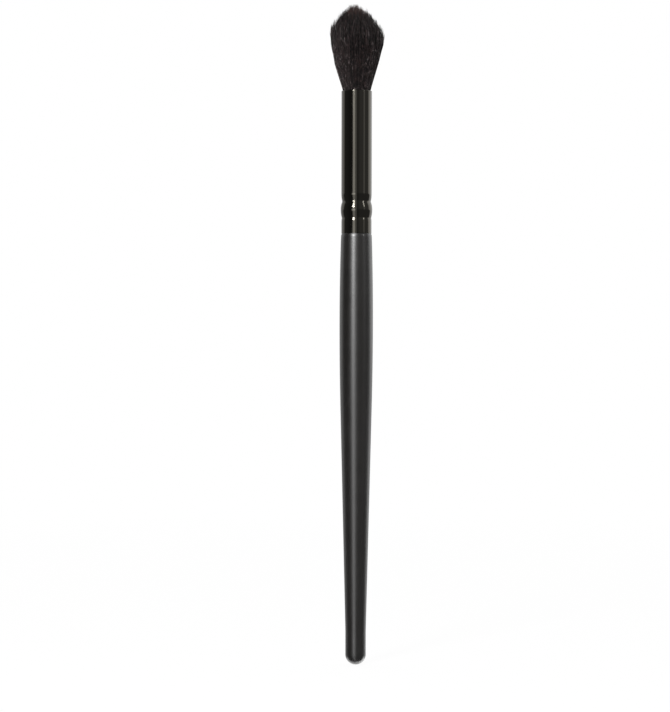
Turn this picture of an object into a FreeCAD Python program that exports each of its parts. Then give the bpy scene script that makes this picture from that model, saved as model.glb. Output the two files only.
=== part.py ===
import FreeCAD, Part
import math
import os
import Sketcher
from FreeCAD import Vector

# Eyeshadow blending brush: a turned, lacquered wooden handle, an aluminium ferrule rolled on with two
# crimps, and a round pointed tuft of loose hair. Millimetres. The brush stands upright, its axis along
# +Z, its origin at the lowest point of the rounded tail and its hair upwards.

# Driving dimensions. Heights of the handle are taken from the tail, heights of the ferrule from its
# lower edge, heights of the tuft from the ferrule's mouth.
SIZES = {
    # ferrule
    "barrel_radius": 4.0,
    "ferrule_wall": 0.3,
    "ferrule_length": 37.4,
    "skirt_inset": 0.035,
    "skirt_bend_length": 0.95,
    "lower_crimp_height": 4.1,
    "lower_crimp_depth": 0.12,
    "bead_above_lower_crimp": 2.3,
    "bead_swell": 0.15,
    "bead_below_upper_crimp": 2.1,
    "upper_crimp_depth": 0.215,
    "drawn_neck_length": 2.1,
    "crimp_wheel_radius": 1.0,
    "mouth_round_share": 0.4,
    # handle
    "tail_radius": 2.675,
    "tail_top": 8.0,
    "tail_blend_radius": 60.0,
    "belly_height": 90.0,
    "belly_swell": 0.355,
    "belly_sweep_radius": 922.0,
    "shoulder_height": 113.0,
    "shoulder_step": 0.065,
    "shoulder_round": 4.0,
    "tenon_gap": 0.1,
    "tenon_chamfer": 0.6,
    "bite_radius": 5.0,
    # tuft
    "mouth_pinch": 0.18,
    "flank_radius": 15.0,
    "tuft_shoulder_height": 14.5,
    "tuft_shoulder_radius": 7.0,
    "crown_round": 5.0,
    "crown_sweep_radius": 17.0,
    "crown_rise": 7.85,
    "tip_round": 3.0,
    "root_length": 12.9,
    "neck_length": 1.2,
    # thread round the root
    "thread_radius": 0.15,
    "thread_gap": 0.06,
    "thread_turns": 6,
    "thread_above_plug": 0.6,
    "waist_above_thread": 0.14,
    "thread_room": 0.36,
    # glue
    "plug_floor": 4.0,
    "plug_rim": 1.4,
    "glue_over_tenon": 0.8,
    "air_gap": 2.7,
    # clearance left wherever one piece sits inside another, and how far a cutter runs past what it cuts
    "fit_clearance": 0.02,
    "cut_overrun": 1.0,
}

# Sizes and places that follow from the driving dimensions.
FOLLOWING = {
    # ferrule
    "skirt_radius": "=barrel_radius - skirt_inset",
    "lower_crimp_radius": "=barrel_radius - lower_crimp_depth",
    "bead_radius": "=barrel_radius + bead_swell",
    "upper_crimp_radius": "=barrel_radius - upper_crimp_depth",
    "skirt_top": "=lower_crimp_height - skirt_bend_length",
    "bead_height": "=lower_crimp_height + bead_above_lower_crimp",
    "upper_crimp_height": "=bead_height + bead_below_upper_crimp",
    "barrel_start": "=upper_crimp_height + drawn_neck_length",
    "lower_wheel_centre": "=lower_crimp_radius + crimp_wheel_radius",
    "upper_wheel_centre": "=upper_crimp_radius + crimp_wheel_radius",
    "mouth_round": "=ferrule_wall * mouth_round_share",
    "bore_barrel_radius": "=barrel_radius - ferrule_wall",
    "bore_bead_radius": "=bead_radius - ferrule_wall",
    "bore_skirt_radius": "=skirt_radius - ferrule_wall",
    "bore_crimp_wheel_radius": "=crimp_wheel_radius + ferrule_wall",
    "inside_radius": "=bore_barrel_radius - fit_clearance",
    # handle, whose tenon ends where the plug of glue leaves it room
    "shoulder_radius": "=skirt_radius + shoulder_step",
    "belly_radius": "=shoulder_radius + belly_swell",
    "upper_sweep_radius": "=((shoulder_height - belly_height)^2 + belly_swell^2) / (2 * belly_swell)",
    "tenon_radius": "=bore_barrel_radius - tenon_gap",
    "tenon_length": "=ferrule_length - root_length - plug_floor - air_gap - glue_over_tenon",
    "handle_top": "=shoulder_height + tenon_length",
    "upper_bite_height": "=shoulder_height + upper_crimp_height",
    "upper_bite_centre": "=upper_crimp_radius - ferrule_wall - fit_clearance + bite_radius",
    "lower_bite_height": "=shoulder_height + lower_crimp_height",
    "lower_bite_centre": "=lower_crimp_radius - ferrule_wall - fit_clearance + bite_radius",
    # tuft and its thread
    "root_foot": "=shoulder_height + ferrule_length - root_length",
    "tuft_mouth_radius": "=inside_radius - mouth_pinch",
    "tuft_shoulder": "=root_length + tuft_shoulder_height",
    "tuft_tip": "=tuft_shoulder + crown_rise",
    "tip_centre": "=tuft_tip - tip_round",
    "thread_centre": "=inside_radius - thread_room - thread_radius",
    "thread_pitch": "=2 * thread_radius + thread_gap",
    "thread_climb": "=thread_pitch * thread_turns",
    "thread_height": "=plug_rim + thread_above_plug",
    "thread_base": "=root_foot + thread_height",
    "waist_radius": "=thread_centre - thread_radius - fit_clearance",
    "waist_length": "=thread_height + thread_climb + 2 * thread_radius + waist_above_thread",
    "neck_top": "=waist_length + neck_length",
    # glue
    "plug_base": "=root_foot - plug_floor",
    "plug_length": "=plug_floor + plug_rim",
    "plug_recess": "=plug_floor - fit_clearance",
    "plug_cutter": "=plug_rim + fit_clearance + cut_overrun",
    "cup_radius": "=waist_radius + fit_clearance",
    "glue_base": "=handle_top - tenon_chamfer",
    "glue_ceiling_radius": "=tenon_radius - tenon_chamfer + fit_clearance",
    "glue_foot_radius": "=tenon_radius + fit_clearance",
    "glue_ceiling": "=tenon_chamfer + fit_clearance",
    "glue_top": "=tenon_chamfer + glue_over_tenon",
}

doc = FreeCAD.newDocument("EyeshadowBrush")
sheet = doc.addObject("Spreadsheet::Sheet", "Sizes")
for row, (alias, content) in enumerate({**SIZES, **FOLLOWING}.items(), start=1):
    sheet.set(f"A{row}", alias)
    sheet.set(f"B{row}", str(content))
    sheet.setAlias(f"B{row}", alias)
doc.recompute()


def size(alias):
    """The number that the sheet holds under this name."""
    return 0.0 if alias is None else float(sheet.get(alias))


def corner(across, up):
    """A point of an outline, from the names of its distance from the axis and its height."""
    return Vector(size(across), size(up), 0)


class Outline:
    """A closed outline on a body's XZ plane, stroke after stroke, for turning about the body's Z axis."""

    def __init__(self, body, name):
        self.sketch = body.newObject("Sketcher::SketchObject", name)
        plane = next(f for f in body.Origin.OriginFeatures if f.Role == "XZ_Plane")
        self.sketch.AttachmentSupport = [(plane, "")]
        self.sketch.MapMode = "FlatFace"
        self.strokes = []

    def line(self, start, finish):
        index = self.sketch.addGeometry(Part.LineSegment(start, finish), False)
        self.strokes.append((index, 1, 2))
        return self.strokes[-1]

    def arc(self, centre, start, finish):
        """The shorter arc from start to finish."""
        first = math.atan2(start.y - centre.y, start.x - centre.x)
        last = math.atan2(finish.y - centre.y, finish.x - centre.x)
        anticlockwise = (start - centre).cross(finish - centre).z > 0
        low, high = (first, last) if anticlockwise else (last, first)
        circle = Part.Circle(centre, Vector(0, 0, 1), (start - centre).Length)
        index = self.sketch.addGeometry(Part.ArcOfCircle(circle, low, high), False)
        self.strokes.append((index, 1, 2) if anticlockwise else (index, 2, 1))
        return self.strokes[-1]

    def bind(self, constraint, alias):
        """Adds a dimension and ties it to the sheet."""
        number = self.sketch.addConstraint(constraint)
        self.sketch.setExpression(f"Constraints[{number}]", f"Sizes.{alias}")

    def place(self, stroke, vertex, across=None, up=None):
        """Dimensions a stroke's vertex (1 where it starts, 2 where it finishes, 3 its centre)."""
        point = stroke[vertex] if vertex < 3 else 3
        if across:
            self.bind(Sketcher.Constraint("DistanceX", -1, 1, stroke[0], point, size(across)), across)
        if up:
            self.bind(Sketcher.Constraint("DistanceY", -1, 1, stroke[0], point, size(up)), up)

    def on_axis(self, stroke, vertex):
        point = stroke[vertex] if vertex < 3 else 3
        self.sketch.addConstraint(Sketcher.Constraint("PointOnObject", stroke[0], point, -2))

    def radius(self, stroke, alias):
        self.bind(Sketcher.Constraint("Radius", stroke[0], size(alias)), alias)

    def level(self, stroke):
        self.sketch.addConstraint(Sketcher.Constraint("Horizontal", stroke[0]))

    def upright(self, stroke):
        self.sketch.addConstraint(Sketcher.Constraint("Vertical", stroke[0]))

    def join(self, smooth=()):
        """Joins each stroke's finish to the next one's start, running smoothly where smooth names the first."""
        for here, following in zip(self.strokes, self.strokes[1:] + self.strokes[:1]):
            kind = "Tangent" if here in smooth else "Coincident"
            self.sketch.addConstraint(Sketcher.Constraint(kind, here[0], here[2], following[0], following[1]))


def new_body(label, base=None):
    """A body whose origin stands at the named height on the brush's axis."""
    body = doc.addObject("PartDesign::Body", label)
    body.Label = label
    if base:
        body.setExpression("Placement.Base.z", f"Sizes.{base}")
    return body


def turn(body, outline, name, kind="PartDesign::Revolution"):
    """Turns an outline once round the axis, adding material or, as a groove, taking it away."""
    feature = body.newObject(kind, name)
    feature.Profile = outline.sketch
    feature.ReferenceAxis = (outline.sketch, ["V_Axis"])
    feature.Angle = 360.0
    doc.recompute()
    return feature


def rim_edges(feature, radius, height):
    """The names of the round edges of this radius at this height above the body's origin."""
    close = size("fit_clearance") / 2
    names = []
    for number, edge in enumerate(feature.Shape.Edges, start=1):
        round_edge = not edge.Degenerated and edge.Curve.TypeId == "Part::GeomCircle"
        if round_edge and abs(edge.Curve.Radius - radius) < close:
            if abs(edge.Curve.Center.z - height) < close:
                names.append(f"Edge{number}")
    return names


def touching_arc(apex_radius, apex_height, wheel_centre, wheel_height, wheel_radius):
    """Centre and touching point of the arc that is upright at its apex and runs smoothly into a crimp's arc."""
    wheel = corner(wheel_centre, wheel_height)
    apex = corner(apex_radius, apex_height)
    depth = apex.x - wheel.x + size(wheel_radius)
    rise = apex.y - wheel.y
    reach = (depth * depth + rise * rise) / (2 * depth)
    centre = Vector(apex.x - reach + size(wheel_radius), apex.y, 0)
    return centre, wheel + (centre - wheel) * (size(wheel_radius) / reach)


def make_handle():
    """Turned handle: straight round tail, long taper, belly, shoulder, and the tenon that the ferrule takes."""
    body = new_body("handle")
    outline = Outline(body, "handle_outline")
    tail_ball = corner(None, "tail_radius")
    tail_side = corner("tail_radius", "tail_radius")
    tail_top = corner("tail_radius", "tail_top")
    belly = corner("belly_radius", "belly_height")
    tenon_foot = corner("tenon_radius", "shoulder_height")
    tenon_head = corner("tenon_radius", "handle_top")
    # the taper is the line that touches the tail's blend on one side and the belly's sweep on the other
    blend_centre = tail_top + Vector(size("tail_blend_radius"), 0, 0)
    sweep_centre = belly - Vector(size("belly_sweep_radius"), 0, 0)
    apart = blend_centre - sweep_centre
    both = size("tail_blend_radius") + size("belly_sweep_radius")
    lean = math.atan2(apart.y, apart.x) + math.acos(both / apart.Length)
    square = Vector(math.cos(lean), math.sin(lean), 0)
    taper_foot = blend_centre - square * size("tail_blend_radius")
    taper_head = sweep_centre + square * size("belly_sweep_radius")
    # the shoulder's round leaves the upper sweep smoothly and ends flush with the ferrule's lower edge
    upper_centre = belly - Vector(size("upper_sweep_radius"), 0, 0)
    flush = corner("skirt_radius", "shoulder_height")
    away = flush - upper_centre
    inner = size("upper_sweep_radius") - size("shoulder_round")
    along = (inner ** 2 - size("shoulder_round") ** 2 + away.Length ** 2) / (2 * away.Length)
    onward = away / away.Length
    down = Vector(onward.y, -onward.x, 0) * math.sqrt(inner ** 2 - along ** 2)
    round_centre = upper_centre + onward * along + down
    round_foot = upper_centre + (round_centre - upper_centre) * (size("upper_sweep_radius") / inner)

    ball = outline.arc(tail_ball, Vector(0, 0, 0), tail_side)
    tail = outline.line(tail_side, tail_top)
    blend = outline.arc(blend_centre, tail_top, taper_foot)
    taper = outline.line(taper_foot, taper_head)
    sweep = outline.arc(sweep_centre, taper_head, belly)
    upper = outline.arc(upper_centre, belly, round_foot)
    rounding = outline.arc(round_centre, round_foot, flush)
    seat = outline.line(flush, tenon_foot)
    tenon = outline.line(tenon_foot, tenon_head)
    head = outline.line(tenon_head, corner(None, "handle_top"))
    outline.line(corner(None, "handle_top"), Vector(0, 0, 0))
    outline.join(smooth=(ball, tail, blend, taper, upper))
    outline.place(ball, 3, up="tail_radius")
    outline.on_axis(ball, 3)
    outline.on_axis(ball, 1)
    outline.radius(ball, "tail_radius")
    outline.upright(tail)
    outline.place(tail, 2, up="tail_top")
    outline.radius(blend, "tail_blend_radius")
    outline.place(sweep, 2, across="belly_radius", up="belly_height")
    outline.place(sweep, 3, up="belly_height")
    outline.radius(sweep, "belly_sweep_radius")
    outline.place(upper, 3, up="belly_height")
    outline.radius(upper, "upper_sweep_radius")
    outline.radius(rounding, "shoulder_round")
    outline.place(rounding, 2, across="skirt_radius", up="shoulder_height")
    outline.level(seat)
    outline.place(tenon, 1, across="tenon_radius")
    outline.upright(tenon)
    outline.place(tenon, 2, up="handle_top")
    outline.level(head)
    outline.on_axis(head, 2)
    blank = turn(body, outline, "handle_turning")

    lead_in = body.newObject("PartDesign::Chamfer", "tenon_lead_in")
    lead_in.Base = (blank, rim_edges(blank, size("tenon_radius"), size("handle_top")))
    lead_in.setExpression("Size", "Sizes.tenon_chamfer")
    doc.recompute()

    # the crimps press their rings into the tenon
    for crimp in ("lower", "upper"):
        bite = Outline(body, f"{crimp}_bite_outline")
        centre = corner(f"{crimp}_bite_centre", f"{crimp}_bite_height")
        ring = bite.sketch.addGeometry(Part.Circle(centre, Vector(0, 0, 1), size("bite_radius")), False)
        stroke = (ring, 3, 3)
        bite.place(stroke, 3, across=f"{crimp}_bite_centre", up=f"{crimp}_bite_height")
        bite.radius(stroke, "bite_radius")
        turn(body, bite, f"{crimp}_bite", "PartDesign::Groove")
    return body


def crimped_outline(body, name, side):
    """The ferrule's side from its lower edge to its mouth, closed along the axis. side is "" for the
    outside and "bore_" for the bore, whose radii are less by the wall."""
    barrel_radius = f"{side}barrel_radius"
    bead_radius = f"{side}bead_radius"
    skirt_radius = f"{side}skirt_radius"
    wheel_radius = f"{side}crimp_wheel_radius"
    outline = Outline(body, name)
    skirt_centre, skirt_end = touching_arc(
        skirt_radius, "skirt_top", "lower_wheel_centre", "lower_crimp_height", wheel_radius)
    low_centre, low_end = touching_arc(
        bead_radius, "bead_height", "lower_wheel_centre", "lower_crimp_height", wheel_radius)
    high_centre, high_end = touching_arc(
        bead_radius, "bead_height", "upper_wheel_centre", "upper_crimp_height", wheel_radius)
    neck_centre, neck_end = touching_arc(
        barrel_radius, "barrel_start", "upper_wheel_centre", "upper_crimp_height", wheel_radius)
    skirt_foot = corner(skirt_radius, None)
    skirt_top = corner(skirt_radius, "skirt_top")
    bead = corner(bead_radius, "bead_height")
    barrel_foot = corner(barrel_radius, "barrel_start")
    barrel_head = corner(barrel_radius, "ferrule_length")

    base = outline.line(Vector(0, 0, 0), skirt_foot)
    skirt = outline.line(skirt_foot, skirt_top)
    skirt_bend = outline.arc(skirt_centre, skirt_top, skirt_end)
    lower_crimp = outline.arc(corner("lower_wheel_centre", "lower_crimp_height"), skirt_end, low_end)
    bead_low = outline.arc(low_centre, low_end, bead)
    bead_high = outline.arc(high_centre, bead, high_end)
    upper_crimp = outline.arc(corner("upper_wheel_centre", "upper_crimp_height"), high_end, neck_end)
    neck = outline.arc(neck_centre, neck_end, barrel_foot)
    barrel = outline.line(barrel_foot, barrel_head)
    mouth = outline.line(barrel_head, corner(None, "ferrule_length"))
    outline.line(corner(None, "ferrule_length"), Vector(0, 0, 0))
    outline.join(smooth=(skirt_bend, lower_crimp, bead_high, upper_crimp))
    outline.sketch.addConstraint(Sketcher.Constraint("Coincident", base[0], base[1], -1, 1))
    outline.level(base)
    outline.place(skirt, 1, across=skirt_radius)
    outline.upright(skirt)
    outline.place(skirt, 2, up="skirt_top")
    outline.place(skirt_bend, 3, up="skirt_top")
    outline.place(lower_crimp, 3, across="lower_wheel_centre", up="lower_crimp_height")
    outline.radius(lower_crimp, wheel_radius)
    outline.place(bead_low, 3, up="bead_height")
    outline.place(bead_low, 2, across=bead_radius, up="bead_height")
    outline.place(bead_high, 3, up="bead_height")
    outline.place(upper_crimp, 3, across="upper_wheel_centre", up="upper_crimp_height")
    outline.radius(upper_crimp, wheel_radius)
    outline.place(neck, 3, up="barrel_start")
    outline.place(neck, 2, across=barrel_radius, up="barrel_start")
    outline.upright(barrel)
    outline.place(barrel, 2, up="ferrule_length")
    outline.level(mouth)
    outline.on_axis(mouth, 2)
    return outline


def make_ferrule():
    """Aluminium ferrule: one thin tube, rolled on over two crimps with a bead between them."""
    body = new_body("ferrule", base="shoulder_height")
    turn(body, crimped_outline(body, "ferrule_outside", ""), "ferrule_turning")
    bored = turn(body, crimped_outline(body, "ferrule_bore", "bore_"), "ferrule_boring", "PartDesign::Groove")
    lip = body.newObject("PartDesign::Fillet", "mouth_lip")
    edges = rim_edges(bored, size("barrel_radius"), size("ferrule_length"))
    edges += rim_edges(bored, size("bore_barrel_radius"), size("ferrule_length"))
    lip.Base = (bored, edges)
    lip.setExpression("Radius", "Sizes.mouth_round")
    doc.recompute()
    return body


def make_tuft():
    """The hair: its tied root inside the ferrule, and the flare, shoulder and pointed crown outside it."""
    body = new_body("bristle_tuft", base="root_foot")
    outline = Outline(body, "tuft_outline")
    mouth = corner("tuft_mouth_radius", "root_length")
    shoulder = corner("tuft_shoulder_radius", "tuft_shoulder")
    tip = corner(None, "tuft_tip")
    flank_centre = shoulder - Vector(size("flank_radius"), 0, 0)
    away = mouth - flank_centre
    lean = math.atan2(away.y, away.x) + math.acos(size("flank_radius") / away.Length)
    flare_head = flank_centre + Vector(math.cos(lean), math.sin(lean), 0) * size("flank_radius")
    # the crown's long sweep goes round the shoulder's round and the tip's, touching both from outside,
    # so its centre lies its radius less theirs from their centres
    crown_centre = shoulder - Vector(size("crown_round"), 0, 0)
    tip_centre = corner(None, "tip_centre")
    sweep = size("crown_sweep_radius")
    near = sweep - size("crown_round")
    far = sweep - size("tip_round")
    step = tip_centre - crown_centre
    along = (near * near - far * far + step.Length * step.Length) / (2 * step.Length)
    aside = math.sqrt(near * near - along * along)
    onward = step / step.Length
    sweep_centre = crown_centre + onward * along + Vector(-onward.y, onward.x, 0) * aside
    crown_end = sweep_centre + (crown_centre - sweep_centre) * (sweep / near)
    tip_start = sweep_centre + (tip_centre - sweep_centre) * (sweep / far)

    foot = outline.line(Vector(0, 0, 0), corner("waist_radius", None))
    waist = outline.line(corner("waist_radius", None), corner("waist_radius", "waist_length"))
    outline.line(corner("waist_radius", "waist_length"), corner("inside_radius", "neck_top"))
    root = outline.line(corner("inside_radius", "neck_top"), mouth)
    flare = outline.line(mouth, flare_head)
    flank = outline.arc(flank_centre, flare_head, shoulder)
    crown = outline.arc(crown_centre, shoulder, crown_end)
    long_sweep = outline.arc(sweep_centre, crown_end, tip_start)
    point = outline.arc(tip_centre, tip_start, tip)
    outline.line(tip, Vector(0, 0, 0))
    outline.join(smooth=(flare, crown, long_sweep))
    outline.sketch.addConstraint(Sketcher.Constraint("Coincident", foot[0], foot[1], -1, 1))
    outline.level(foot)
    outline.place(waist, 1, across="waist_radius")
    outline.upright(waist)
    outline.place(waist, 2, up="waist_length")
    outline.place(root, 1, across="inside_radius", up="neck_top")
    outline.place(root, 2, across="tuft_mouth_radius", up="root_length")
    outline.place(flank, 3, up="tuft_shoulder")
    outline.place(flank, 2, across="tuft_shoulder_radius", up="tuft_shoulder")
    outline.radius(flank, "flank_radius")
    outline.place(crown, 3, up="tuft_shoulder")
    outline.radius(crown, "crown_round")
    outline.radius(long_sweep, "crown_sweep_radius")
    outline.on_axis(point, 3)
    outline.place(point, 3, up="tip_centre")
    outline.radius(point, "tip_round")
    outline.on_axis(point, 2)
    turn(body, outline, "tuft_form")
    return body


def make_binding():
    """The thread wound tight round the tuft's waist before it is glued in."""
    body = new_body("root_binding_thread", base="thread_base")
    section = Outline(body, "thread_section")
    centre = corner("thread_centre", "thread_radius")
    ring = section.sketch.addGeometry(Part.Circle(centre, Vector(0, 0, 1), size("thread_radius")), False)
    stroke = (ring, 3, 3)
    section.place(stroke, 3, across="thread_centre", up="thread_radius")
    section.radius(stroke, "thread_radius")
    winding = body.newObject("PartDesign::AdditiveHelix", "thread_winding")
    winding.Profile = section.sketch
    winding.ReferenceAxis = (section.sketch, ["V_Axis"])
    winding.Mode = "pitch-height-angle"
    winding.setExpression("Pitch", "Sizes.thread_pitch")
    winding.setExpression("Height", "Sizes.thread_climb")
    doc.recompute()
    return body


def make_plug():
    """The set glue that holds the root in the ferrule: a plug with a cup that the tied waist stands in."""
    block = doc.addObject("Part::Cylinder", "plug_block")
    block.setExpression("Radius", "Sizes.inside_radius")
    block.setExpression("Height", "Sizes.plug_length")
    cup = doc.addObject("Part::Cylinder", "plug_cup")
    cup.setExpression("Radius", "Sizes.cup_radius")
    cup.setExpression("Height", "Sizes.plug_cutter")
    cup.setExpression("Placement.Base.z", "Sizes.plug_recess")
    plug = doc.addObject("Part::Cut", "root_glue_plug")
    plug.Label = "root_glue_plug"
    plug.Base = block
    plug.Tool = cup
    plug.setExpression("Placement.Base.z", "Sizes.plug_base")
    doc.recompute()
    return plug


def make_tenon_glue():
    """The glue pushed up over the tenon's chamfered head when the handle was driven into the ferrule."""
    body = new_body("tenon_glue_cap", base="glue_base")
    outline = Outline(body, "glue_outline")
    ceiling = outline.line(corner(None, "glue_ceiling"), corner("glue_ceiling_radius", "glue_ceiling"))
    slope = outline.line(
        corner("glue_ceiling_radius", "glue_ceiling"), corner("glue_foot_radius", "fit_clearance"))
    foot = outline.line(
        corner("glue_foot_radius", "fit_clearance"), corner("inside_radius", "fit_clearance"))
    side = outline.line(corner("inside_radius", "fit_clearance"), corner("inside_radius", "glue_top"))
    top = outline.line(corner("inside_radius", "glue_top"), corner(None, "glue_top"))
    outline.line(corner(None, "glue_top"), corner(None, "glue_ceiling"))
    outline.join()
    outline.on_axis(ceiling, 1)
    outline.level(ceiling)
    outline.place(ceiling, 2, across="glue_ceiling_radius", up="glue_ceiling")
    outline.place(slope, 2, across="glue_foot_radius", up="fit_clearance")
    outline.level(foot)
    outline.place(side, 1, across="inside_radius")
    outline.upright(side)
    outline.place(side, 2, up="glue_top")
    outline.level(top)
    outline.on_axis(top, 2)
    turn(body, outline, "glue_form")
    return body


pieces = [make_handle(), make_ferrule(), make_tuft(), make_binding(), make_plug(), make_tenon_glue()]
doc.recompute()

for item in doc.Objects:
    if {"Invalid", "Error"} & set(item.State):
        raise RuntimeError(f"{item.Label} could not be made: {item.State}")
for piece in pieces:
    if piece.Shape.isNull() or not piece.Shape.isValid() or len(piece.Shape.Solids) != 1:
        raise RuntimeError(f"{piece.Label} is not one valid solid")

os.makedirs("parts", exist_ok=True)
for piece in pieces:
    piece.Shape.exportStep(f"parts/{piece.Label}.step")
    box = piece.Shape.optimalBoundingBox()
    print(f"{piece.Label}: {piece.Shape.Volume:.2f} mm3, from {box.ZMin:.3f} to {box.ZMax:.3f} up the axis")
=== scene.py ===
"""The looks of an eyeshadow brush: its lacquered handle, its plated ferrule and its tuft of loose hair,
the thread and glue inside the ferrule, and the pale studio that it stands in. Metres, +Z up the brush."""

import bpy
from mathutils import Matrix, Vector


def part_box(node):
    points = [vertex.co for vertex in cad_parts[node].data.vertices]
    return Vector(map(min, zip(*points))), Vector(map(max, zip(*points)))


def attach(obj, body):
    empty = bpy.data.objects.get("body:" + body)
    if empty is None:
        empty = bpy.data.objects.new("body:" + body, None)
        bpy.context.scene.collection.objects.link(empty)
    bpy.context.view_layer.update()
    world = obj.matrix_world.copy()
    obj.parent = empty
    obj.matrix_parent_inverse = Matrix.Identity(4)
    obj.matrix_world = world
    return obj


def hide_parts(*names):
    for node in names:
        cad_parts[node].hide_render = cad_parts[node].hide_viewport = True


bl_info = {
    "name": "Eyeshadow Brush",
    "version": (1, 0, 0),
    "blender": (4, 5, 0),
    "location": "3D View > Sidebar > Brush",
    "description": "Builds the handle, ferrule and hair of an eyeshadow brush, and its studio",
    "category": "Object",
}

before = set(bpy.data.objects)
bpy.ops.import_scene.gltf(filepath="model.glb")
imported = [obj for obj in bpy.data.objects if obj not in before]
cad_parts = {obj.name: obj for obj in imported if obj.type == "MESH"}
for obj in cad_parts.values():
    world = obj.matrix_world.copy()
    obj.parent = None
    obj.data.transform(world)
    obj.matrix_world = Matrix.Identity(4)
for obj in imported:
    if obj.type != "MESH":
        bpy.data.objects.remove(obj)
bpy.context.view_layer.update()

import math

import bpy
import numpy as np
from bpy.props import FloatProperty, FloatVectorProperty, IntProperty, PointerProperty
from mathutils import Vector

MM = 0.001
BODY = "root"
MAP = "OFBake"
MAP_EDGE = 0.01

LATHE_STEPS = 144
SAME_POINT = 0.0002 * MM
ON_AXIS = 0.001 * MM
SMOOTH_BELOW = math.radians(38)

# The hair's map has one column for each tone. The first third is for the wisps inside, the second for the
# mantle's and the last for the strays, and a filament's strip takes up most of its column. The column also
# turns the filament about itself.
COLUMNS = 192
THIRD = COLUMNS // 3
STRIP = 0.7 / COLUMNS
COLUMN_TURN = 37
MANTLE_SHARE = 1 / 3
STRAY_SHARE = 2 / 3

# Where a filament has its rings, as shares of its root and of its free length, and how thick it is at each.
ROOT_SHARES = (0.0, 0.36, 0.48, 0.96)
FREE_SHARES = (0.13, 0.28, 0.43, 0.57, 0.70, 0.82, 0.92, 1.0)
TAPER_SHARES = (1, 1, 1, 1, 1, 1, 1, 1, 0.96, 0.82, 0.55, 0.16)

# Where the root's radius changes, as shares of its length: foot, end of the waist, neck and mouth.
NECK_SHARES = (0, 0.357, 0.45, 1)

# How the hair departs from an even spread: shares of the tuft's radius, then lengths. The last four say how
# far the filaments draw together, and how much the flanks draw in.
WISP_JITTER_SHARE = 0.012
LOCK_JITTER_SHARE = 0.022
LOCK_LIFT = 0.10 * MM
LOCK_SLANT = 0.36 * MM
WISP_LIFT = 0.26 * MM
PAST_CROWN = 0.60 * MM
SHORTENING = 0.8 * MM
LOCK_DRIFT = 0.07 * MM
WISP_DRIFT = 0.11 * MM
STRAND_DRIFT = 0.07 * MM
STRAND_RIPPLE = 0.05 * MM
WISP_RIPPLE = 0.06 * MM
TO_WISP_SHARE = 0.68
TO_LOCK_SHARE = 0.22
LEFT_SQUEEZE_SHARE = 0.045
RIGHT_SQUEEZE_SHARE = 0.018

# Which filaments the strays follow, from this share of all on, and how they depart from them.
SKIN_SHARE = 0.88
STANDING_SHARE = 0.08
STAND_SPREAD_MM = 0.16
LYING_STAND_MM = 0.05
FLICK_WANDER = 0.40 * MM
FLICK_SWING = 0.15 * MM
STRAY_SPREAD = 0.07 * MM

# Azimuth, elevation, width and height of each lamp in degrees, and its level next to its own setting.
KEY_LAMPS = {
    "key_foot": (-23, 14.3, 10, 5, 3.4),
    "key": (-23, 24, 11, 14.4, 1),
    "key_top": (-22, 44, 7, 25.6, 0.6),
}
SIDE_LAMP = (59, 28.5, 6, 31, 1)
LAMP_DISTANCE = 0.8
LAMPS_AIM = 0.115

# what the packed parts say of the brush
belly_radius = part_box("handle")[1].x
tenon_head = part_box("handle")[1].z
joint_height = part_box("ferrule")[0].z
mouth_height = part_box("ferrule")[1].z
bead_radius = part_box("ferrule")[1].x
root_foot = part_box("bristle_tuft")[0].z
tuft_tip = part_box("bristle_tuft")[1].z
tuft_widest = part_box("bristle_tuft")[1].x


def length(name, description, default):
    """A length in metres that a user may change."""
    return FloatProperty(name=name, description=description, default=default, unit="LENGTH", precision=5)


def number(name, description, default, least):
    """A whole number that a user may change."""
    return IntProperty(name=name, description=description, default=default, min=least)


def level(name, description, default):
    """How strong a light is."""
    return FloatProperty(name=name, description=description, default=default, min=0)


def share(name, description, default):
    """A share from nothing to all."""
    return FloatProperty(name=name, description=description, default=default, min=0, max=1, subtype="FACTOR")


def colour(name, description, default):
    """A colour, as light that the surface sends back."""
    return FloatVectorProperty(
        name=name, description=description, default=default, min=0, max=1, size=3, subtype="COLOR")


class HandleLooks(bpy.types.PropertyGroup):
    """Sizes and colours of the handle."""

    tail_radius: length("Tail radius", "Radius of the straight tail and of its round end", 2.675 * MM)
    tail_top: length("Tail top", "Height at which the straight tail ends", 8 * MM)
    tail_blend: length("Tail blend", "Radius of the hollow bend from the tail into the taper", 60 * MM)
    belly_height: length("Belly height", "Height at which the handle is widest", 90 * MM)
    belly_sweep: length("Belly sweep", "Radius of the long curve up to the belly", 922 * MM)
    shoulder_step: length("Shoulder step", "How far the handle would stand out past the ferrule", 0.065 * MM)
    shoulder_round: length("Shoulder round", "Radius of the handle's last bend down to the ferrule", 4 * MM)
    joint_line: length("Joint line", "Height of the dark line under the ferrule's edge", 0.21 * MM)
    joint_depth: length("Joint depth", "Depth of the dark line under the ferrule's edge", 0.13 * MM)
    tenon_gap: length("Tenon gap", "Gap between the tenon and the ferrule's bore", 0.1 * MM)
    tenon_chamfer: length("Tenon chamfer", "Chamfer of the tenon's head", 0.6 * MM)
    bite_radius: length("Bite radius", "Radius of the rings that the crimps press into the tenon", 5 * MM)
    lacquer: colour("Lacquer", "Colour of the charcoal lacquer", (0.0032, 0.0023, 0.0017))
    sheen_roughness: share("Roughness", "How dull the satin lacquer is", 0.345)


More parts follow.
